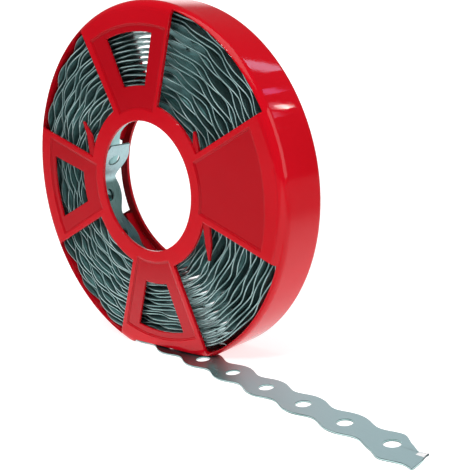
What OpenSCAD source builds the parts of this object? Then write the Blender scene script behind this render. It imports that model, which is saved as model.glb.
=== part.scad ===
// Perforated steel fixing strap, coiled in its moulded plastic dispenser drum.
// Millimetres, +Z up. The front face looks along -Y and the drum's axis lies along Y.
// The origin is on the ground, under the drum's axis, half way across its width.

/* [Drum] */
// radius of the round outer wall
drum_r = 83.7; // [60:0.5:110]
// width of the drum, front face to back face
drum_w = 26.1; // [20:0.2:40]
// height of the drum's axis above the flat foot
axis_h = 78.5; // [55:0.2:105]
// wall thickness of both mouldings
wall = 1.5; // [1.2:0.1:3]
// rounding where the faces meet the outer wall
edge_r = 4.5; // [1:0.5:8]
// radius of the hole in the front face
hub_r = 30.5; // [20:0.5:40]
// outer radius of the ring round the front hole
hub_ring_r = 38.9; // [30:0.2:50]

/* [Faces] */
// added to the half angle of every radial arm
arm_wider = 0; // [-4:0.2:4]
// turns all the arms about the axis, anticlockwise seen from the front
arms_turn = 0; // [-10:0.5:10]
// outer radius of the openings between the arms
opening_r = 82; // [70:0.2:90]
// depth of the sunk panel in each arm
panel_depth = 0.5; // [0.2:0.1:1]
// width of the raised border beside a sunk panel
panel_border = 2.9; // [2:0.1:8]
// inner radius of a sunk panel
panel_r0 = 36; // [33:0.5:50]
// outer radius of a sunk panel
panel_r1 = 73.2; // [60:0.2:78]
// half angle between the two sides of a window in an arm
window_half = 20.5; // [10:0.5:30]
// how far a window's sides are set in from rays at that angle
window_inset = 9.1; // [4:0.1:16]
// inner radius of a window in an arm
window_r0 = 46.3; // [40:0.1:55]
// outer radius of a window in an arm
window_r1 = 70; // [60:0.5:76]

// how far the longest of the three retaining fingers reaches from the axis
finger_reach = 31.5; // [28:0.2:40]
// width of a retaining finger where it leaves its arm
finger_w = 4.2; // [2:0.1:6]

/* [Back moulding] */
// radius of the hole in the back face
back_hub_r = 41.8; // [30:0.2:50]
// outer radius of the ring round the back hole
back_ring_r = 46.8; // [40:0.2:60]
// outer radius of the windows in the back face
back_window_r = 74; // [60:0.5:78]
// half angle of each window in the back face
back_window_half = 22.5; // [8:0.5:35]
// thickness of the four tabs that keep the coil off the hole
tab_t = 1.6; // [1:0.1:3]
// how far the tabs stand forward of the back face
tab_h = 6.2; // [3:0.2:10]
// half angle of each tab
tab_half = 20; // [8:0.5:30]

/* [Strap] */
// full width of the strap, across a lobe
strap_w = 17; // [12:0.5:26]
// width of the strap at the necks between the holes
neck_w = 11; // [6:0.5:20]
// thickness of the strap
strap_t = 0.8; // [0.6:0.05:1.5]
// distance from hole to hole
pitch = 24.2; // [15:0.2:35]
// diameter of the round holes
hole_d = 6.5; // [4:0.1:12]
// middle of the strap, measured from the front face
strap_y = 11.1; // [8:0.1:16]

/* [Coil] */
// radius of the coil's bore
coil_r0 = 37.5; // [35:0.1:50]
// how far the bore is off the drum's axis, down and to the left
bore_off = 6.6; // [0:0.1:6.8]
// outer radius of the coil
coil_r1 = 81.4; // [60:0.2:82]
// number of turns that show on the ends of the coil
turns = 21; // [8:1:40]
// depth of the grooves between the turns
turn_groove = 0.9; // [0.3:0.1:2]

/* [Free ends] */
// where the tail turns out of line, across from the axis
pivot_x = -20; // [-30:1:10]
// angle of the tail out of the drum's plane, toward the front
tail_skew = 12.2; // [0:0.2:20]
// distance along the tail from where it turns to its first hole
tail_first = 51; // [20:0.5:70]
// number of holes in the tail in front of the drum
tail_holes = 6; // [2:1:12]
// length of strap past the last hole, on the side away from the viewer
tail_past = 14.4; // [6:0.2:20]
// how much longer the cut end is on the near side
end_slant = 3.6; // [0:0.2:8]
// depth of the tail's middle where it turns, from the front face
pivot_d = 9.5; // [6:0.1:14]
// radius of the inner end where it lies along the bore
inner_r = 43.8; // [38:0.1:46]
// angle at which the inner end is kinked inward
kink_a = 179; // [150:1:200]
// angle of the inner end's tip
tip_a = 147; // [130:1:170]
// radius of the inner end's tip
tip_r = 33.4; // [28:0.1:42]

/* [Hidden] */

$fn = 96;
eps = 0.01;
y0 = -drum_w/2;             // plane of the front face
y1 = drum_w/2;              // plane of the back face
ys = y0 + strap_y;          // middle of the strap
// each arm's turn from upright and its half angle: top, left, bottom, right
arms = [[2.7, 23], [92.3, 22.1], [180.3, 21.8], [271.4, 22.6]];
function turn_of(i) = arms[i%4][0] + arms_turn + (i > 3 ? 360 : 0);
function half_of(i) = arms[i%4][1] + arm_wider;
foot_wall = wall + 1;       // the foot is thicker than the rest
recess = 1.3;               // channel under the foot for the strap
yp = y0 + pivot_d;          // middle of the tail where it turns
red = [0.80, 0.05, 0.09];
red2 = [0.74, 0.04, 0.08];
steel = [0.62, 0.68, 0.69];

// a shape drawn in X and Z, given thickness from y = a to y = b
module slab(a, b) translate([0, b, axis_h]) rotate([90, 0, 0]) linear_extrude(b - a) children();

// a profile drawn as radius and depth from the front face, turned about the drum's axis
module turned() translate([0, y0, axis_h]) rotate([-90, 0, 0]) rotate_extrude($fn = 180) children();

// everything between two rays from a point up the middle line
module sector(half, b, reach) {
    a = b/sin(half);
    polygon([[0, a], [-reach*sin(half), a + reach*cos(half)], [reach*sin(half), a + reach*cos(half)]]);
}

// the part of a ring that lies inside an arm, in from its sides by b
module arm_patch(half, b, ra, rb, turn) rotate(turn) intersection() {
    difference() { circle(r = rb, $fn = 180); circle(r = ra, $fn = 180); }
    sector(half, b, 2*rb);
}

// radius-depth profile of the outside, rounded at one or both faces
module body_profile(w, r_front, r_back, rr) {
    union() {
        square([rr - max(r_front, r_back), w]);
        translate([0, r_front]) square([rr, w - r_front - r_back]);
        if (r_front > 0) intersection() { translate([rr - r_front, r_front]) circle(r = r_front, $fn = 64); square([rr, r_front]); }
        if (r_back > 0) translate([0, w - r_back]) intersection() { translate([rr - r_back, 0]) circle(r = r_back, $fn = 64); square([rr, r_back]); }
        square([rr - r_front, r_front + eps]);
        translate([0, w - r_back - eps]) square([rr - r_back, r_back + eps]);
    }
}

// keeps what is above the ground, or above a height over it
module above(h) translate([-200, -100, h]) cube([400, 200, 300]);

// the outside of the whole drum, flat at the foot
module drum_body() intersection() { turned() body_profile(drum_w, edge_r, edge_r*0.75, drum_r); above(0); }

// the space inside, between the depths given, rounded at the front
module drum_space(a, b) intersection() {
    turned() translate([0, a]) body_profile(b - a, edge_r - wall, 0, drum_r - wall);
    above(foot_wall);
}

// places the tail's own frame: along +X from where it turns
module at_tail() translate([pivot_x, yp, 0]) rotate([0, 0, -tail_skew]) children();

// the shallow channel under the foot that the tail lies in
module tail_channel() at_tail() translate([-2, -strap_w/2 - 0.5, -1]) cube([130, strap_w + 1, recess + 1]);

// a slot through the flat foot where the strap comes out
module exit_slot() translate([-28, y0 + 1.2, -1]) cube([14, strap_w + 2, foot_wall + 3]);

// pointed fingers behind the two side arms that keep the coil back: two on the right, one on the left
module finger(foot, mid, tip) polygon([foot - [finger_w/2, 0], mid - [finger_w*0.4, 0], tip - [0.35, 0], tip + [0.35, 0], mid + [finger_w*0.4, 0], foot + [finger_w/2, 0]]);
module fingers() slab(y0 + 0.7, y0 + wall + 0.4) {
    finger([35.4, 12], [35.3, 19], [35.2, 25.5]);
    finger([37.6, -12], [37.7, -24], [37.3, -finger_reach]);
    finger([-37.4, 11], [-38.4, 23.5], [-42, 30.4]);
}

module front_shell() color(red) union() { front_moulding(); fingers(); }

module front_moulding() difference() {
    drum_body();
    // inside, open to the back moulding
    drum_space(wall, drum_w + 1);
    // everything behind the joint with the back moulding
    translate([-200, y1 - wall, -1]) cube([400, 50, 300]);
    // front hole
    translate([0, y0 + wall + 1, axis_h]) rotate([90, 0, 0]) cylinder(r = hub_r, h = wall + 2, $fn = 180);
    // four openings between the arms
    for (i = [0:3]) let (lo = turn_of(i) + half_of(i), hi = turn_of(i + 1) - half_of(i + 1)) slab(y0 - 1, y0 + wall + 4) difference() {
        arm_patch((hi - lo)/2, 0, hub_ring_r, opening_r, (hi + lo)/2);
        translate([-200, -200]) square([400, 200 - axis_h + foot_wall]);
    }
    // windows in three of the arms
    for (t = [1.2, 92.3, 180.4]) slab(y0 - 1, y0 + wall + 1) arm_patch(window_half, window_inset, window_r0, window_r1, t + arms_turn);
    // sunk panels in all four arms, in two small steps
    for (i = [0:3]) for (e = [0, 1]) slab(y0 - 1, y0 + panel_depth*(1 + e)/2)
        arm_patch(half_of(i), panel_border + (e - 0.5)*0.7, panel_r0 + (e - 0.5)*0.7, panel_r1 - (e - 0.5)*0.7, turn_of(i) + (i == 0 ? -0.9 : 0));
    // way out for the strap
    exit_slot();
    tail_channel();
}

module back_shell() color(red2) union() {
    intersection() {
        drum_body();
        slab(y1 - wall, y1) difference() {
            circle(r = drum_r + 1, $fn = 180);
            circle(r = back_hub_r, $fn = 180);
            for (t = [0:90:270]) arm_patch(back_window_half, 0, back_ring_r, back_window_r, t);
        }
    }
    // tabs on the ring, standing forward on the diagonals
    for (t = [45:90:315]) slab(y1 - tab_h, y1 - wall + eps) arm_patch(tab_half, 0, back_ring_r - tab_t, back_ring_r, t);
    // locating lip just inside the outer wall
    intersection() {
        slab(y1 - wall - 1.6, y1 - wall + eps) difference() { circle(r = drum_r - wall - 0.15, $fn = 180); circle(r = drum_r - wall - 1.5, $fn = 180); }
        above(foot_wall + 0.15);
    }
}

// the strap's outline as a flat strip from a to b along X, lobes centred on the holes
function half_w(s) = (strap_w + neck_w)/4 + (strap_w - neck_w)/4*cos(360*s/pitch);
module strip(a, b, n) {
    st = (b - a)/n;
    polygon(concat([for (i = [0:n]) [a + i*st, half_w(a + i*st)]], [for (i = [n:-1:0]) [a + i*st, -half_w(a + i*st)]]));
}

// the tail on the ground, with its holes, drawn from its first hole
tail_start = -tail_first + 6;
module tail() at_tail() translate([tail_first, 0, 0]) difference() {
    linear_extrude(strap_t) strip(tail_start, (tail_holes - 1)*pitch + tail_past + end_slant, 60);
    // the end, cut at a slant
    translate([(tail_holes - 1)*pitch + tail_past + end_slant/2, 0, -1]) rotate([0, 0, atan2(end_slant, strap_w - 2)]) translate([0, -20, 0]) cube([20, 40, 3]);
    for (k = [-1:tail_holes - 1]) translate([k*pitch, 0, -1]) cylinder(d = hole_d, h = strap_t + 2, $fn = 48);
}

// a bent strip given by its middle line in X and Z, between two depths
module bent(pts, a, b) translate([0, b, 0]) rotate([90, 0, 0]) linear_extrude(b - a) {
    n = len(pts);
    polygon(concat([for (i = [0:n - 1]) pts[i] + nrm(pts, i)*strap_t/2], [for (i = [n - 1:-1:0]) pts[i] - nrm(pts, i)*strap_t/2]));
}
function nrm(p, i) = let (a = p[max(0, i - 1)], b = p[min(len(p) - 1, i + 1)], d = b - a, l = norm(d)) [-d[1]/l, d[0]/l];

// the last part of the outer turn, coming down through the slot to the ground
module lead_out() {
    rr = coil_r1 - strap_t/2 - 0.3;
    a1 = -110.5;
    p1 = [rr*cos(a1), axis_h + rr*sin(a1)];
    sl = -90 - a1;                          // slope on leaving the circle
    rb = (p1[1] - strap_t/2)/(1 - cos(sl)); // radius of the bend that lays it flat
    bent(concat([for (a = [-116:1.1:a1]) [rr*cos(a), axis_h + rr*sin(a)]],
                [for (i = [1:7]) let (q = sl*(1 - i/7)) [p1[0] + rb*(sin(sl) - sin(q)), strap_t/2 + rb*(1 - cos(q))]],
                [[p1[0] + rb*sin(sl) + 3, strap_t/2]]),
         yp - 6.4, yp + 6.4);
}

// the inner end: leaves the bore near the bottom, lies along it, then is kinked inward
module inner_end() {
    kr = inner_r + 0.5;
    tip = [tip_r*cos(tip_a), tip_r*sin(tip_a)];
    pts = concat([for (a = [-104:-3:-176]) let (r = inner_r + 2.6*pow(max(0, (a + 126)/22), 2)) [r*cos(a), r*sin(a)]],
                 [for (i = [1:6]) [kr*cos(-kink_a) + (tip[0] - kr*cos(-kink_a))*i/6, kr*sin(-kink_a) + (tip[1] - kr*sin(-kink_a))*i/6]]);
    difference() {
        translate([0, 0, axis_h]) bent(pts, ys - strap_w/2, ys + strap_w/2);
        // the necks between the lobes
        for (a = [-129.3, -156.8, 176.6]) for (e = [-1, 1])
            translate([0, ys + e*(neck_w/2 + 12), axis_h]) rotate([0, -a, 0]) translate([30, 0, 0]) rotate([0, 90, 0]) cylinder(r = 12, h = 22, $fn = 72);
        // the holes
        for (a = [-143.4, -170.4, 163.3])
            translate([0, ys, axis_h]) rotate([0, -a, 0]) translate([30, 0, 0]) rotate([0, 90, 0]) cylinder(d = hole_d, h = 22, $fn = 48);
    }
}

// the coil, turned with its bore, its turns grooved into both ends and flat over the foot
module coil() {
    step = (coil_r1 - coil_r0)/turns;
    difference() {
        intersection() {
            turned() translate([0, strap_y - strap_w/2]) difference() {
                translate([coil_r0 - 7, 0]) square([coil_r1 - coil_r0 + 7, strap_w]);
                for (i = [-ceil(7/step):turns - 1]) for (e = [0, 1])
                    translate([coil_r0 + i*step - (step - strap_t)/2, e*(strap_w - turn_groove) - (1 - e)*1]) square([step - strap_t, turn_groove + 1]);
            }
            above(foot_wall + 0.2);
        }
        translate([-bore_off*0.82, ys + 20, axis_h - bore_off*0.57]) rotate([90, 0, 0]) cylinder(r = coil_r0, h = 40, $fn = 180);
    }
}

// the strap is one piece of steel, drawn as two nodes that meet where it leaves the coil's flat
module perforated_strap() color(steel) union() { coil(); inner_end(); }
module strap_tail() color(steel) union() {
    intersection() { lead_out(); translate([-200, -100, -1]) cube([400, 200, foot_wall + 0.2 + 1]); }
    tail();
}

front_shell();
back_shell();
perforated_strap();
strap_tail();
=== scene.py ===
import bpy
import bmesh
import math
import numpy as np
from mathutils import Matrix, Vector


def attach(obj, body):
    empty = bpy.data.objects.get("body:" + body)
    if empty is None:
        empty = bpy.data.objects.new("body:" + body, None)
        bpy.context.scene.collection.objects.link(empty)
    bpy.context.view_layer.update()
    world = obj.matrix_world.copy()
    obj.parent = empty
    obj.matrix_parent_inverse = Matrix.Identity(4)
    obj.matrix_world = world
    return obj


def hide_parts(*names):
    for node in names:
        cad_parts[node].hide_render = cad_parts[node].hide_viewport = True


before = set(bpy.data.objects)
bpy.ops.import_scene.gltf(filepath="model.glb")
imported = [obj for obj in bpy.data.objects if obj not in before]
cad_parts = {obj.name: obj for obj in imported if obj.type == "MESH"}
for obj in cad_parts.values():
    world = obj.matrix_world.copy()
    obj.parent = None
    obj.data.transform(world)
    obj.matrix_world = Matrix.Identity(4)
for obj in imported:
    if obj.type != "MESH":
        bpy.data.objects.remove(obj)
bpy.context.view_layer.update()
MM = 0.001

# ---------------------------------------------------------------- sizes, as in the CAD, in mm
DRUM_R, DRUM_W, AXIS_H = 83.7, 26.1, 78.5
Y0 = -DRUM_W / 2
STRAP_T, PITCH, HOLE_R = 0.8, 24.2, 3.25
SLANT = 2.6
STRAP_Y = Y0 + 11.1
PIV_X, PIV_Y, SKEW, FIRST, PAST, HOLES = -20.0, Y0 + 9.5, math.radians(12.2), 51.0, 17.3, 6
FOOT_WALL = 2.5

# ---------------------------------------------------------------- camera at the photo's angle
UNIT = 1.288      # the fit worked in units of drum radius / 65
az, el, roll, tx, ty = (math.radians(v) for v in (49.96, 8.02, -5.54, -5.56, 3.70))
dist, focal = 314.88, 873.03
z = np.array([math.sin(az) * math.cos(el), -math.cos(az) * math.cos(el), math.sin(el)])
loc = z * dist * UNIT + np.array([0, Y0, AXIS_H])
x = np.cross([0, 0, 1], z)
x /= np.linalg.norm(x)
y = np.cross(z, x)
z2 = z * math.cos(tx) + x * math.sin(tx)
x2 = x * math.cos(tx) - z * math.sin(tx)
z3 = z2 * math.cos(ty) + y * math.sin(ty)
y3 = y * math.cos(ty) - z2 * math.sin(ty)
x4 = x2 * math.cos(roll) + y3 * math.sin(roll)
y4 = -x2 * math.sin(roll) + y3 * math.cos(roll)
cam_data = bpy.data.cameras.new("camera")
cam = bpy.data.objects.new("camera", cam_data)
bpy.context.scene.collection.objects.link(cam)
cam_data.sensor_width = 36
cam_data.lens = focal / 470 * 36
cam_data.clip_start = 0.01
cam.matrix_world = Matrix(((x4[0], y4[0], z3[0], loc[0] * MM), (x4[1], y4[1], z3[1], loc[1] * MM), (x4[2], y4[2], z3[2], loc[2] * MM), (0, 0, 0, 1)))
bpy.context.scene.camera = cam


# ---------------------------------------------------------------- materials
def new_mat(name):
    m = bpy.data.materials.new(name)
    m.use_nodes = True
    nt = m.node_tree
    nt.nodes.clear()
    out = nt.nodes.new("ShaderNodeOutputMaterial")
    b = nt.nodes.new("ShaderNodeBsdfPrincipled")
    nt.links.new(b.outputs[0], out.inputs[0])
    return m, nt, b


def node(nt, kind, **values):
    n = nt.nodes.new(kind)
    for k, v in values.items():
        if hasattr(n, k):
            setattr(n, k, v)
        else:
            n.inputs[k.replace("_", " ")].default_value = v
    return n


def ramp(nt, src, stops):
    r = nt.nodes.new("ShaderNodeValToRGB")
    els = r.color_ramp.elements
    r.color_ramp.interpolation = "EASE"
    while len(els) < len(stops):
        els.new(0.5)
    for e, (p, c) in zip(els, stops):
        e.position = p
        e.color = (*c, 1) if len(c) == 3 else c
    if src:
        nt.links.new(src, r.inputs[0])
    return r.outputs[0]


def plastic(name, dark, light, rough0, rough1, bump):
    m, nt, b = new_mat(name)
    tc = nt.nodes.new("ShaderNodeTexCoord")
    # slow colour drift of a thick moulding, with fine mottling
    n1 = node(nt, "ShaderNodeTexNoise", Scale=22.0, Detail=2.0, Roughness=0.4)
    n2 = node(nt, "ShaderNodeTexNoise", Scale=900.0, Detail=2.0, Roughness=0.6)
    n3 = node(nt, "ShaderNodeTexNoise", Scale=45.0, Detail=0.0, Roughness=0.4)
    for n in (n1, n2, n3):
        nt.links.new(tc.outputs["Object"], n.inputs["Vector"])
    # the sunk panels are given a slightly darker colour and a higher roughness than the polished face
    xyz = nt.nodes.new("ShaderNodeSeparateXYZ")
    nt.links.new(tc.outputs["Object"], xyz.inputs[0])
    nrm = nt.nodes.new("ShaderNodeSeparateXYZ")
    nt.links.new(tc.outputs["Normal"], nrm.inputs[0])
    deep = nt.nodes.new("ShaderNodeMapRange")
    deep.interpolation_type = "SMOOTHSTEP"
    deep.inputs["From Min"].default_value = (Y0 + 0.05) * MM
    deep.inputs["From Max"].default_value = (Y0 + 0.45) * MM
    nt.links.new(xyz.outputs[1], deep.inputs["Value"])
    flat = nt.nodes.new("ShaderNodeMath")
    flat.operation = "LESS_THAN"
    flat.inputs[1].default_value = -0.95
    nt.links.new(nrm.outputs[1], flat.inputs[0])
    sunk = nt.nodes.new("ShaderNodeMath")
    sunk.operation = "MULTIPLY"
    nt.links.new(deep.outputs[0], sunk.inputs[0])
    nt.links.new(flat.outputs[0], sunk.inputs[1])
    tone = nt.nodes.new("ShaderNodeMix")
    tone.data_type = "RGBA"
    tone.blend_type = "MULTIPLY"
    tone.inputs["B"].default_value = (0.80, 0.82, 0.86, 1)
    nt.links.new(sunk.outputs[0], tone.inputs["Factor"])
    nt.links.new(ramp(nt, n1.outputs[0], [(0.3, dark), (0.7, light)]), tone.inputs["A"])
    nt.links.new(tone.outputs["Result"], b.inputs["Base Color"])
    rg = nt.nodes.new("ShaderNodeMath")
    rg.operation = "MULTIPLY_ADD"
    rg.inputs[1].default_value = 0.10
    nt.links.new(sunk.outputs[0], rg.inputs[0])
    nt.links.new(ramp(nt, n1.outputs[0], [(0.3, (rough0,) * 3), (0.75, (rough1,) * 3)]), rg.inputs[2])
    nt.links.new(rg.outputs[0], b.inputs["Roughness"])
    # orange-peel and a trace of moulding waviness, over rounded edges
    bev = nt.nodes.new("ShaderNodeBevel")
    bev.samples = 6
    bev.inputs[0].default_value = 0.0007
    b1 = node(nt, "ShaderNodeBump", Strength=bump, Distance=0.0008)
    nt.links.new(n3.outputs[0], b1.inputs["Height"])
    nt.links.new(bev.outputs[0], b1.inputs["Normal"])
    b2 = node(nt, "ShaderNodeBump", Strength=0.05, Distance=0.0001)
    nt.links.new(n2.outputs[0], b2.inputs["Height"])
    nt.links.new(b1.outputs[0], b2.inputs["Normal"])
    nt.links.new(b2.outputs[0], b.inputs["Normal"])
    b.inputs["IOR"].default_value = 1.49
    b.inputs["Specular IOR Level"].default_value = 0.25
    b.inputs["Subsurface Weight"].default_value = 0.08
    b.inputs["Subsurface Radius"].default_value = (1.0, 0.15, 0.1)
    b.inputs["Subsurface Scale"].default_value = 0.0015
    return m


red_front = plastic("red_front", (0.60, 0.0022, 0.0095), (0.66, 0.0032, 0.0125), 0.032, 0.05, 0.06)
red_back = plastic("red_back", (0.50, 0.0020, 0.0085), (0.57, 0.0030, 0.0115), 0.16, 0.22, 0.12)


tune = {}                # nodes whose values depend on the finished strap


def zinc(name):
    m, nt, b = new_mat(name)
    tc = nt.nodes.new("ShaderNodeTexCoord")
    sp = node(nt, "ShaderNodeTexVoronoi", Scale=260.0)
    n1 = node(nt, "ShaderNodeTexNoise", Scale=45.0, Detail=5.0, Roughness=0.6)
    n2 = node(nt, "ShaderNodeTexNoise", Scale=700.0, Detail=3.0, Roughness=0.6)
    uv = node(nt, "ShaderNodeUVMap", uv_map="strip")
    mp = nt.nodes.new("ShaderNodeMapping")
    mp.inputs["Scale"].default_value = (40.0, 3000.0, 1.0)
    nt.links.new(uv.outputs[0], mp.inputs["Vector"])
    lines = node(nt, "ShaderNodeTexNoise", Scale=1.0, Detail=3.0, Roughness=0.6)
    nt.links.new(mp.outputs[0], lines.inputs["Vector"])
    for n in (sp, n1, n2):
        nt.links.new(tc.outputs["Object"], n.inputs["Vector"])
    mix = nt.nodes.new("ShaderNodeMix")
    mix.data_type = "RGBA"
    mix.blend_type = "MULTIPLY"
    mix.inputs["Factor"].default_value = 0.35
    nt.links.new(ramp(nt, n1.outputs[0], [(0.3, (0.29, 0.51, 0.51)), (0.7, (0.38, 0.61, 0.61))]), mix.inputs["A"])
    nt.links.new(ramp(nt, sp.outputs["Color"], [(0.0, (0.72, 0.74, 0.76)), (1.0, (1, 1, 1))]), mix.inputs["B"])
    # the free end on the ground: painted shade darkens it where it lies in under the drum; it is dull and pale farther
    # out
    pos = nt.nodes.new("ShaderNodeSeparateXYZ")
    nt.links.new(tc.outputs["Object"], pos.inputs[0])
    low = nt.nodes.new("ShaderNodeMath")
    low.operation = "LESS_THAN"
    low.inputs[1].default_value = 0.0022
    nt.links.new(pos.outputs[2], low.inputs[0])

    def stretch(x0, x1, lean):
        """1 beyond x1 on the tail, 0 before x0 and on the coil; lean slants the border across the strap."""
        far_ = nt.nodes.new("ShaderNodeMath")
        far_.operation = "MULTIPLY_ADD"
        far_.inputs[1].default_value = lean
        nt.links.new(pos.outputs[1], far_.inputs[0])
        nt.links.new(pos.outputs[0], far_.inputs[2])
        n = nt.nodes.new("ShaderNodeMapRange")
        n.interpolation_type = "SMOOTHSTEP"
        n.inputs["From Min"].default_value = x0
        n.inputs["From Max"].default_value = x1
        nt.links.new(far_.outputs[0], n.inputs["Value"])
        k = nt.nodes.new("ShaderNodeMath")
        k.operation = "MULTIPLY"
        nt.links.new(n.outputs[0], k.inputs[0])
        nt.links.new(low.outputs[0], k.inputs[1])
        return k.outputs[0]

    pale = stretch(0.022, 0.046, 1.0)
    soft = nt.nodes.new("ShaderNodeMix")
    soft.data_type = "RGBA"
    soft.inputs["B"].default_value = (0.345, 0.50, 0.525, 1)
    nt.links.new(pale, soft.inputs["Factor"])
    nt.links.new(mix.outputs["Result"], soft.inputs["A"])
    painted_shade_mask = nt.nodes.new("ShaderNodeMath")
    painted_shade_mask.operation = "SUBTRACT"
    nt.links.new(low.outputs[0], painted_shade_mask.inputs[0])
    nt.links.new(stretch(0.014, 0.038, 0.0), painted_shade_mask.inputs[1])
    # painted shade: a near-black teal is mixed in where the strap runs in under the drum
    deep = nt.nodes.new("ShaderNodeMix")
    deep.data_type = "RGBA"
    deep.inputs["B"].default_value = (0.045, 0.11, 0.12, 1)
    nt.links.new(painted_shade_mask.outputs[0], deep.inputs["Factor"])
    nt.links.new(soft.outputs["Result"], deep.inputs["A"])
    # painted reflection on the inner end: its colour is darkened as far as its kink, for the dark bore it mirrors, and
    # brightened past the kink to its tip; its place along the strap is set below
    along = nt.nodes.new("ShaderNodeSeparateXYZ")
    nt.links.new(uv.outputs[0], along.inputs[0])
    bore = nt.nodes.new("ShaderNodeMapRange")
    nt.links.new(along.outputs[0], bore.inputs["Value"])
    tune["bore"] = bore
    painted_bore_reflection = nt.nodes.new("ShaderNodeMix")
    painted_bore_reflection.data_type = "RGBA"
    painted_bore_reflection.blend_type = "MULTIPLY"
    painted_bore_reflection.inputs["Factor"].default_value = 1.0
    nt.links.new(deep.outputs["Result"], painted_bore_reflection.inputs["A"])
    nt.links.new(ramp(nt, bore.outputs[0], [(0.0, (1, 1, 1)), (0.1, (0.55, 0.55, 0.53)), (0.74, (0.48, 0.50, 0.48)), (0.77, (1.15, 1.02, 1.06))]), painted_bore_reflection.inputs["B"])
    nt.links.new(painted_bore_reflection.outputs["Result"], b.inputs["Base Color"])
    metal = nt.nodes.new("ShaderNodeMath")
    metal.operation = "MULTIPLY_ADD"
    metal.inputs[1].default_value = -0.68
    metal.inputs[2].default_value = 0.9
    nt.links.new(pale, metal.inputs[0])
    nt.links.new(metal.outputs[0], b.inputs["Metallic"])
    rough = nt.nodes.new("ShaderNodeMath")
    rough.operation = "MULTIPLY_ADD"
    rough.inputs[1].default_value = 0.18
    nt.links.new(pale, rough.inputs[0])
    nt.links.new(ramp(nt, lines.outputs[0], [(0.3, (0.26,) * 3), (0.7, (0.38,) * 3)]), rough.inputs[2])
    nt.links.new(rough.outputs[0], b.inputs["Roughness"])
    bp = node(nt, "ShaderNodeBump", Strength=0.12, Distance=0.0001)
    nt.links.new(lines.outputs[0], bp.inputs["Height"])
    bp2 = node(nt, "ShaderNodeBump", Strength=0.10, Distance=0.0001)
    nt.links.new(n2.outputs[0], bp2.inputs["Height"])
    nt.links.new(bp.outputs[0], bp2.inputs["Normal"])
    nt.links.new(bp2.outputs[0], b.inputs["Normal"])
    return m


def cut_edge(name):
    m, nt, b = new_mat(name)
    uv = node(nt, "ShaderNodeUVMap", uv_map="edge")
    xyz = nt.nodes.new("ShaderNodeSeparateXYZ")
    nt.links.new(uv.outputs[0], xyz.inputs[0])
    mp = nt.nodes.new("ShaderNodeMapping")
    mp.inputs["Scale"].default_value = (90.0, 0.0, 1.0)
    nt.links.new(uv.outputs[0], mp.inputs["Vector"])
    # a punched edge has a shiny sheared zone beside a dull torn one; here it is painted as a bright band between
    # near-black flanks, partly that zone and partly painted highlight and painted shade, changing along the band
    along = node(nt, "ShaderNodeTexNoise", Scale=1.0, Detail=2.0, Roughness=0.5)
    nt.links.new(mp.outputs[0], along.inputs["Vector"])
    shift = nt.nodes.new("ShaderNodeMath")
    shift.operation = "MULTIPLY_ADD"
    shift.inputs[1].default_value = 0.0009
    nt.links.new(along.outputs[0], shift.inputs[0])
    nt.links.new(xyz.outputs[1], shift.inputs[2])
    sheared_and_lit_band = ramp(nt, None, [(0.0, (0, 0, 0)), (0.22, (0, 0, 0)), (0.40, (1, 1, 1)), (0.66, (1, 1, 1)), (0.84, (0, 0, 0))])
    rng = nt.nodes.new("ShaderNodeMapRange")
    rng.inputs["From Min"].default_value = -0.0004 + 0.00045
    rng.inputs["From Max"].default_value = 0.0004 + 0.00045
    nt.links.new(shift.outputs[0], rng.inputs["Value"])
    nt.links.new(rng.outputs[0], sheared_and_lit_band.node.inputs[0])
    n1 = node(nt, "ShaderNodeTexNoise", Scale=60.0, Detail=3.0, Roughness=0.6)
    tc = nt.nodes.new("ShaderNodeTexCoord")
    nt.links.new(tc.outputs["Object"], n1.inputs["Vector"])
    mix = nt.nodes.new("ShaderNodeMix")
    mix.data_type = "RGBA"
    mix.inputs["A"].default_value = (0.05, 0.085, 0.09, 1)
    nt.links.new(sheared_and_lit_band, mix.inputs["Factor"])
    nt.links.new(ramp(nt, n1.outputs[0], [(0.32, (0.27, 0.48, 0.46)), (0.68, (0.68, 0.94, 0.92))]), mix.inputs["B"])
    nt.links.new(mix.outputs["Result"], b.inputs["Base Color"])
    b.inputs["Metallic"].default_value = 0.35
    nt.links.new(ramp(nt, n1.outputs[0], [(0.3, (0.34,) * 3), (0.7, (0.55,) * 3)]), b.inputs["Roughness"])
    return m


zinc_face = zinc("zinc_face")
zinc_edge = cut_edge("zinc_edge")
# painted highlight: a near-white material for the turned-up lip at the tail's tip
painted_burr_highlight, nt, b = new_mat("painted_burr_highlight")
b.inputs["Base Color"].default_value = (0.97, 0.98, 0.98, 1)
b.inputs["Metallic"].default_value = 0.05
b.inputs["Roughness"].default_value = 0.35

for name, mat in (("front_shell", red_front), ("back_shell", red_back)):
    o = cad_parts[name]
    for s in o.material_slots:
        s.material = mat
    if not o.material_slots:
        o.data.materials.append(mat)

# ---------------------------------------------------------------- the strap's path
# From the tail's tip, in under the foot, round the coil inward, to the inner end's tip.
TURNS = 21.0
TH_OUT = -116.0                       # the coil's outer turn leaves the round here, degrees
TH_IN = -172.0                        # the inner end parts from the round here
TH0 = TH_OUT + 360.0                  # angle counted on from the outer end, going inward means less
R_OUT, R_IN = 81.3, 36.6


def r_outer(th):
    flat = (AXIS_H - FOOT_WALL - 0.55) / max(1e-3, -math.sin(th)) if math.sin(th) < -0.2 else 1e4
    return (R_OUT ** -70.0 + flat ** -70.0) ** (-1 / 70.0)


def r_inner(th):
    return R_IN + 6.8 * math.cos(th + math.radians(150))


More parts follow.
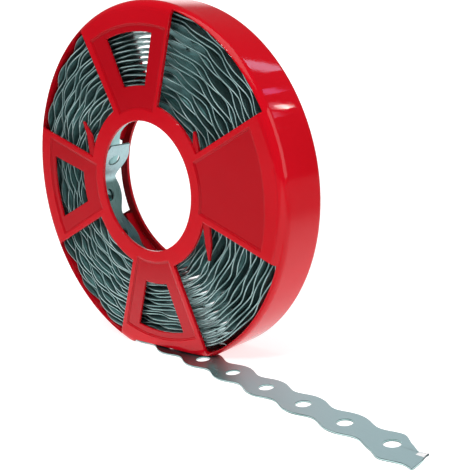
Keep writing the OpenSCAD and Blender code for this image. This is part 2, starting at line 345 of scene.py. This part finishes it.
# wander of the turns: frequencies that aren't whole numbers, so neighbours differ but never meet
WANDER = [(2, 0.42, 0.10, 0.4), (3, 0.31, 0.08, 2.1), (5, 0.23, 0.06, 4.0), (1, 0.57, 0.08, 1.2)]
SLIDE = [(1, 0.37, 0.22, 0.9), (2, 0.45, 0.16, 3.3)]
total_deg = TURNS * 360.0 + (TH_OUT - TH_IN)          # how far the coil turns in all
n_spiral = int(total_deg / 1.5)
spiral = []
for i in range(n_spiral + 1):
    back = total_deg * i / n_spiral                    # degrees travelled inward
    deg = TH_OUT - back
    th = math.radians(deg)
    u = 1 - back / total_deg
    ro, ri = r_outer(th), r_inner(th)
    # the outermost turn before it leaves isn't squeezed by the foot
    r = ri + (ro - ri) * u
    fade = min(1.0, back / 300.0) * min(1.0, (total_deg - back) / 90.0)
    # the turns wander as far as the room between them allows
    room = (ro - ri) / TURNS
    w = sum(a * math.cos((m + f) * th + p) for m, f, a, p in WANDER) * fade * min(2.6, max(0.5, (room - 0.83) / 0.56))
    sl = sum(a * math.cos((m + f) * th + p) for m, f, a, p in SLIDE) * fade
    spiral.append(((r + w) * math.cos(th), STRAP_Y + sl, AXIS_H + (r + w) * math.sin(th)))

# inner end: along the bore, kinked, then straight to its tip
tip = (33.4 * math.cos(math.radians(147)), 33.4 * math.sin(math.radians(147)))
kink = (43.7 * math.cos(math.radians(-179.5)), 43.7 * math.sin(math.radians(-179.5)))
inner = []
for t in np.linspace(0.08, 1, 14):
    inner.append((kink[0] + (tip[0] - kink[0]) * t, STRAP_Y, AXIS_H + kink[1] + (tip[1] - kink[1]) * t))

# outer end: down through the slot, then along the ground
lead = []
p0 = np.array(spiral[0])
d0 = np.array(spiral[0]) - np.array(spiral[2])
d0[1] = 0
d0 /= np.linalg.norm(d0)
p1 = np.array([-9.0, 0, STRAP_T / 2])
span = 27.0
for i in range(1, 40):
    t = i / 40
    h00, h10, h01, h11 = 2 * t ** 3 - 3 * t ** 2 + 1, t ** 3 - 2 * t ** 2 + t, -2 * t ** 3 + 3 * t ** 2, t ** 3 - t ** 2
    q = p0 * h00 + d0 * span * h10 + p1 * h01 + np.array([1.0, 0, 0]) * span * h11
    lead.append([q[0], 0, q[2]])


def side(xx):
    L = (xx - PIV_X)
    if L >= 0:
        return PIV_Y - L * math.tan(SKEW)
    v = min(-L, 15.0)
    return PIV_Y + math.tan(SKEW) * (v - v * v / 30.0)


for q in lead:
    q[1] = side(q[0])
off = side(-60.0)
for i in range(min(len(spiral), 60)):
    X = spiral[i][0]
    k = max(0.0, 1 - i / 45.0)
    k = k * k * (3 - 2 * k)
    spiral[i] = (X, spiral[i][1] * (1 - k) + off * k, spiral[i][2])
ex, ey = math.cos(SKEW), -math.sin(SKEW)
L_end = FIRST + (HOLES - 1) * PITCH + PAST
L_start = (lead[-1][0] - PIV_X) / ex + 0.6
tail = [(PIV_X + L * ex, PIV_Y + L * ey, STRAP_T / 2) for L in np.arange(L_end, L_start, -0.8)]
path = np.array(tail + [tuple(q) for q in reversed(lead)] + spiral + inner)
keep = [0]
for i in range(1, len(path)):
    if np.linalg.norm(path[i] - path[keep[-1]]) > 0.25:
        keep.append(i)
path = path[keep]
seg = np.linalg.norm(np.diff(path, axis=0), axis=1)
S = np.concatenate([[0], np.cumsum(seg)])
LENGTH = S[-1]
tune["bore"].inputs["From Min"].default_value = (LENGTH - 98) * MM
tune["bore"].inputs["From Max"].default_value = LENGTH * MM


def smooth(a, n):
    k = np.hanning(n + 2)[1:-1]
    k /= k.sum()
    pad = n // 2
    b = np.concatenate([np.repeat(a[:1], pad, 0), a, np.repeat(a[-1:], pad, 0)])
    return np.stack([np.convolve(b[:, j], k, "valid") for j in range(a.shape[1])], 1)


# even steps along the strap, then its tangent, thickness and width directions
STEP = 0.4
ss = np.arange(0, LENGTH, STEP)
P = np.stack([np.interp(ss, S, path[:, j]) for j in range(3)], 1)
P[2:-2] = smooth(P, 5)[2:-2]
T = np.gradient(P, axis=0)
T = smooth(T, 7)
T /= np.linalg.norm(T, axis=1)[:, None]
B = np.array([0.0, 1.0, 0.0]) - T * T[:, 1:2]
B /= np.linalg.norm(B, axis=1)[:, None]
N = np.cross(T, B)


def at(s, v, h):
    """Points at distance s along the strap, v across it and h through it."""
    out = np.empty((len(s), 3))
    for j in range(3):
        out[:, j] = np.interp(s, ss, P[:, j]) + v * np.interp(s, ss, B[:, j]) + h * np.interp(s, ss, N[:, j])
    return out


# hole places along the strap; the last few by the inner end sit a little closer
holes = [PAST + k * PITCH for k in range(HOLES)]
inner_tip = LENGTH
last = [inner_tip - 10.4, inner_tip - 10.4 - 20.9, inner_tip - 10.4 - 20.9 - 21.3]
while holes[-1] + PITCH * 1.0 < last[-1] - PITCH * 0.6:
    holes.append(holes[-1] + PITCH)
# share what is left over evenly over the last two turns
spare = (last[-1] - holes[-1] - PITCH)
n_share = 20
for i in range(n_share):
    holes[-1 - i] += spare * (n_share - i) / n_share
holes += list(reversed(last))
cuts = [0.0] + [(a + b) / 2 for a, b in zip(holes, holes[1:])] + [float(ss[-1]) - 0.01]


def half_width(tau):
    return 7.0 + 1.45 * math.cos(2 * math.pi * tau) - 0.12 * math.cos(4 * math.pi * tau)


def ease(t_):
    t_ = min(1.0, max(0.0, t_))
    return t_ * t_ * (3 - 2 * t_)


def draw_tip(s_, v_):
    """The tail's end is cut at a slant, shorter on the far side; past its last hole the strap is
    drawn over to the near side, and it is narrower where it was snipped."""
    past = PAST - s_
    cut = max(0.0, 1 - s_ / 11.0) * min(1.0, max(0.0, 0.5 + v_ / 12.0))
    return s_ + cut * SLANT, v_ * (1 - 0.20 * ease((past - 8) / 8)) - 3.0 * ease((past + 3) / 8.5)


def cell(s0, sc, s1, n_side, n_ring, end0=None, end1=None):
    """Vertices (s, v) of one lobe from s0 to s1 with its hole at sc, as rings from the hole out."""
    a, b = sc - s0, s1 - sc
    top = []
    for i in range(n_side + 1):
        t = -1 + 2 * i / n_side
        if t < 0:
            s_, tau = sc + t * a, t * 0.5 * (a / (PITCH / 2) if end0 else 1)
        else:
            s_, tau = sc + t * b, t * 0.5 * (b / (PITCH / 2) if end1 else 1)
        top.append((s_, half_width(tau)))
    rim = [p for p in top]                                   # far edge, s rising
    rim.append((s1, 0.0))
    rim += [(p[0], -p[1]) for p in reversed(top)]            # near edge, s falling
    w0 = top[0][1]
    close = [(s0, w0 * q) for q in (-0.6, -0.2, 0.2, 0.45, 0.6, 0.8)] if end0 else [(s0, 0.0)]
    rim += close
    if end0:
        rim = [draw_tip(*p) for p in rim]
    rings = []
    for k in range(n_ring + 1):
        f = k / n_ring
        f = f * (0.55 + 0.45 * f)
        ring = []
        for (s_, v_) in rim:
            ang = math.atan2(v_, s_ - sc)
            hx, hy = HOLE_R * math.cos(ang), HOLE_R * math.sin(ang)
            ring.append((sc + hx + (s_ - sc - hx) * f, hy + (v_ - hy) * f))
        rings.append(ring)
    return rings, len(rim), n_side, len(close)


verts_s, verts_v, verts_h, faces, face_mat, uvs = [], [], [], [], [], []


def add_cell(s0, sc, s1, n_side, n_ring, end0=None, end1=None):
    rings, m, ns, n_close = cell(s0, sc, s1, n_side, n_ring, end0, end1)
    base = len(verts_s)
    for h in (STRAP_T / 2, -STRAP_T / 2):
        for ring in rings:
            for (s_, v_) in ring:
                verts_s.append(s_)
                verts_v.append(v_)
                verts_h.append(h)
    lay = len(rings) * m
    for side_ in (0, 1):
        o_ = base + side_ * lay
        for k in range(len(rings) - 1):
            for i in range(m):
                j = (i + 1) % m
                q = (o_ + k * m + i, o_ + k * m + j, o_ + (k + 1) * m + j, o_ + (k + 1) * m + i)
                faces.append(q if side_ == 0 else q[::-1])
                face_mat.append(0)
    # wall of the hole
    for i in range(m):
        j = (i + 1) % m
        faces.append((base + j, base + i, base + lay + i, base + lay + j))
        face_mat.append(1)
    # outer walls, but not where the next lobe joins on
    o1 = base + (len(rings) - 1) * m
    o2 = o1 + lay
    for i in range(m):
        j = (i + 1) % m
        at_far_end = i in (ns, ns + 1)
        at_near_end = i >= m - 1 - n_close
        if at_far_end and not end1:
            continue
        if at_near_end and not end0:
            continue
        faces.append((o1 + i, o1 + j, o2 + j, o2 + i))
        face_mat.append(1)


for k, hc in enumerate(holes):
    first, final = k == 0, k == len(holes) - 1
    fine = k < 9 or k > len(holes) - 6
    add_cell(cuts[k], hc, cuts[k + 1], 22 if first else 14 if fine else 8, 4 if fine else 2, end0=first or None, end1=final or None)

vs, vv, vh = np.array(verts_s), np.array(verts_v), np.array(verts_h)
# a thin lip of torn metal is turned up at the far corner of the snipped end
v_flat = (vv + 3.0) / 0.82
slide = SLANT * np.clip(0.5 + v_flat / 12.0, 0, 1)
lip = np.clip(v_flat / 3.0 - 0.25, 0, 1) * np.clip(1.15 - (vs - slide) / (1 - slide / 11.0) / 4.2, 0, 1)
vh = vh - 0.7 * lip
co = at(vs, vv, vh) * MM
mesh = bpy.data.meshes.new("strap")
mesh.from_pydata([tuple(c) for c in co], [], faces)
mesh.materials.append(zinc_face)
mesh.materials.append(zinc_edge)
mesh.materials.append(painted_burr_highlight)
# the lip's top faces get the near-white painted highlight material
face_mat = [2 if m_ == 0 and sum(lip[i_] for i_ in f_) / len(f_) > 0.30 else m_ for f_, m_ in zip(faces, face_mat)]
mesh.polygons.foreach_set("material_index", face_mat)
uvl = mesh.uv_layers.new(name="strip")
li = np.empty(len(mesh.loops), dtype=np.int32)
mesh.loops.foreach_get("vertex_index", li)
uvl.data.foreach_set("uv", np.stack([vs[li] * MM, vv[li] * MM], 1).ravel())
uve = mesh.uv_layers.new(name="edge")
uve.data.foreach_set("uv", np.stack([vs[li] * MM, vh[li] * MM], 1).ravel())
strap = bpy.data.objects.new("strap_band", mesh)
bpy.context.scene.collection.objects.link(strap)
bm = bmesh.new()
bm.from_mesh(mesh)
bmesh.ops.remove_doubles(bm, verts=bm.verts, dist=0.00002)
bmesh.ops.recalc_face_normals(bm, faces=bm.faces)
bm.to_mesh(mesh)
bm.free()
mesh.polygons.foreach_set("use_smooth", [True] * len(mesh.polygons))
mesh.set_sharp_from_angle(angle=math.radians(40))
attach(strap, "root")
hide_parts("perforated_strap", "strap_tail")
print("strap length mm", round(LENGTH), "holes", len(holes), "tris", sum(len(p.vertices) - 2 for p in mesh.polygons))

# ---------------------------------------------------------------- floor and backdrop
sweep = bpy.data.meshes.new("backdrop")
pts = []
back, rad = 1.6, 0.7
prof = [(-2.4, 0.0), (back, 0.0)]
for i in range(1, 13):
    a = math.pi / 2 * i / 12
    prof.append((back + rad * math.sin(a), rad * (1 - math.cos(a))))
prof.append((back + rad, 3.2))
vw = Vector((-z[0], -z[1], 0)).normalized()      # away from the camera
sd = Vector((vw.y, -vw.x, 0))
for (d_, h_) in prof:
    for e in (-3.5, 3.5):
        p_ = vw * d_ + sd * e
        pts.append((p_.x, p_.y, h_))
fc = [(2 * i, 2 * i + 1, 2 * i + 3, 2 * i + 2) for i in range(len(prof) - 1)]
sweep.from_pydata(pts, [], fc)
sweep.polygons.foreach_set("use_smooth", [True] * len(sweep.polygons))
floor = bpy.data.objects.new("backdrop", sweep)
bpy.context.scene.collection.objects.link(floor)
fm, nt, b = new_mat("paper")
b.inputs["Roughness"].default_value = 0.8
b.inputs["Specular IOR Level"].default_value = 0.1
tc = nt.nodes.new("ShaderNodeTexCoord")


def dot(vec):
    n = nt.nodes.new("ShaderNodeVectorMath")
    n.operation = "DOT_PRODUCT"
    n.inputs[1].default_value = vec
    nt.links.new(tc.outputs["Object"], n.inputs[0])
    return n.outputs["Value"]


def calc(op, a_, b_):
    n = nt.nodes.new("ShaderNodeMath")
    n.operation = op
    for i_, v_ in enumerate((a_, b_)):
        if isinstance(v_, (int, float)):
            n.inputs[i_].default_value = v_
        elif v_ is not None:
            nt.links.new(v_, n.inputs[i_])
    return n.outputs[0]


ahead = calc("MAXIMUM", dot(tuple(vw)), -0.2)
right = dot(tuple(sd))


def edge_of(value, lo, hi):
    n = nt.nodes.new("ShaderNodeMapRange")
    n.interpolation_type = "SMOOTHSTEP"
    n.inputs["From Min"].default_value = lo
    n.inputs["From Max"].default_value = hi
    n.inputs["To Min"].default_value = 1.0
    n.inputs["To Max"].default_value = 0.0
    nt.links.new(value, n.inputs["Value"])
    return n.outputs[0]


# a painted pool of light on the paper, lighter in colour and glowing: wide to the right, narrow to the left, spreading
# with distance
painted_light_pool = calc("MULTIPLY",
            edge_of(calc("SUBTRACT", right, calc("MULTIPLY", ahead, 0.41)), 0.165, 0.325),
            edge_of(calc("SUBTRACT", calc("MULTIPLY", right, -1.0), calc("MULTIPLY", ahead, 0.20)), 0.085, 0.225))
painted_light_pool = calc("MULTIPLY", painted_light_pool, edge_of(dot((0.0, 0.0, 1.0)), 0.95, 1.5))
nt.links.new(ramp(nt, painted_light_pool, [(0.0, (0.44, 0.44, 0.44)), (1.0, (0.62, 0.62, 0.62))]), b.inputs["Base Color"])
# far from the lamps the paper needs more glow of its own to stay white
near = edge_of(dot(tuple(vw)), 0.25, 1.3)
glow = calc("ADD", calc("MULTIPLY", painted_light_pool, calc("SUBTRACT", 1.02, calc("MULTIPLY", near, 0.34))), 0.05)
nt.links.new(glow, b.inputs["Emission Strength"])
b.inputs["Emission Color"].default_value = (1, 1, 1, 1)
sweep.materials.append(fm)


# ---------------------------------------------------------------- light
def area(name, where, target, size, size_y, power, color=(1, 1, 1), spread=180):
    ld = bpy.data.lights.new(name, "AREA")
    ld.shape = "RECTANGLE"
    ld.size, ld.size_y = size, size_y
    ld.energy = power
    ld.color = color
    ld.spread = math.radians(spread)
    lo = bpy.data.objects.new(name, ld)
    bpy.context.scene.collection.objects.link(lo)
    lo.location = where
    lo.rotation_euler = (Vector(target) - Vector(where)).to_track_quat("-Z", "Y").to_euler()
    return lo


def pane(name, where, width, tall, power, color=(1, 1, 1), away=1.5):
    """A window pane that the outer wall mirrors at a place (x, depth, z from the axis) toward the camera."""
    P_ = np.array([where[0], where[1] + Y0, where[2] + AXIS_H])
    d_ = P_ - loc
    d_ /= np.linalg.norm(d_)
    n_ = np.array([where[0], 0, where[2]])
    n_ /= np.linalg.norm(n_)
    r_ = d_ - 2 * np.dot(d_, n_) * n_
    c_ = P_ * MM + r_ * away
    up = np.cross(np.array([0, 1.0, 0]), n_)
    up -= r_ * np.dot(up, r_)
    up /= np.linalg.norm(up)
    si = np.cross(up, r_)
    ld = bpy.data.lights.new(name, "AREA")
    ld.shape = "RECTANGLE"
    ld.size, ld.size_y = width, tall
    ld.energy = power
    ld.color = color
    lo = bpy.data.objects.new(name, ld)
    bpy.context.scene.collection.objects.link(lo)
    # a lamp shines along its own -Z
    lo.matrix_world = Matrix(((si[0], up[0], r_[0], c_[0]), (si[1], up[1], r_[1], c_[1]), (si[2], up[2], r_[2], c_[2]), (0, 0, 0, 1)))
    return lo


mid = (0.02, 0.0, 0.07)
area("key", (-0.15, -1.2, 1.0), mid, 0.26, 0.26, 9.0)
area("top", (0.25, -0.25, 1.4), mid, 1.4, 1.1, 12.0)
area("right", (1.3, 0.3, 0.5), mid, 0.9, 0.9, 7.0)
pane("pane_a", (65.9, 7.6, 51.6), 0.055, 0.24, 0.20, (0.45, 0.72, 1.0))
pane("pane_b", (73.0, 7.6, 40.7), 0.042, 0.07, 0.034, (0.7, 0.42, 1.0))
pane("pane_c", (76.4, 12.0, 34.2), 0.010, 0.062, 0.10, (1, 0.97, 0.90))
pane("pane_e", (76.0, 6.7, 35.1), 0.030, 0.08, 0.018, (1, 0.70, 0.92))
pane("pane_d", (77.5, 3.4, 31.7), 0.022, 0.08, 0.018, (1, 0.60, 1.0))
pane("pane_f", (79.2, 0.6, 27.0), 0.006, 0.08, 0.010)

world = bpy.data.worlds.new("world")
bpy.context.scene.world = world
world.use_nodes = True
world.node_tree.nodes["Background"].inputs[0].default_value = (0.96, 0.98, 1, 1)
world.node_tree.nodes["Background"].inputs[1].default_value = 0.10
bpy.context.scene.view_settings.view_transform = "Standard"
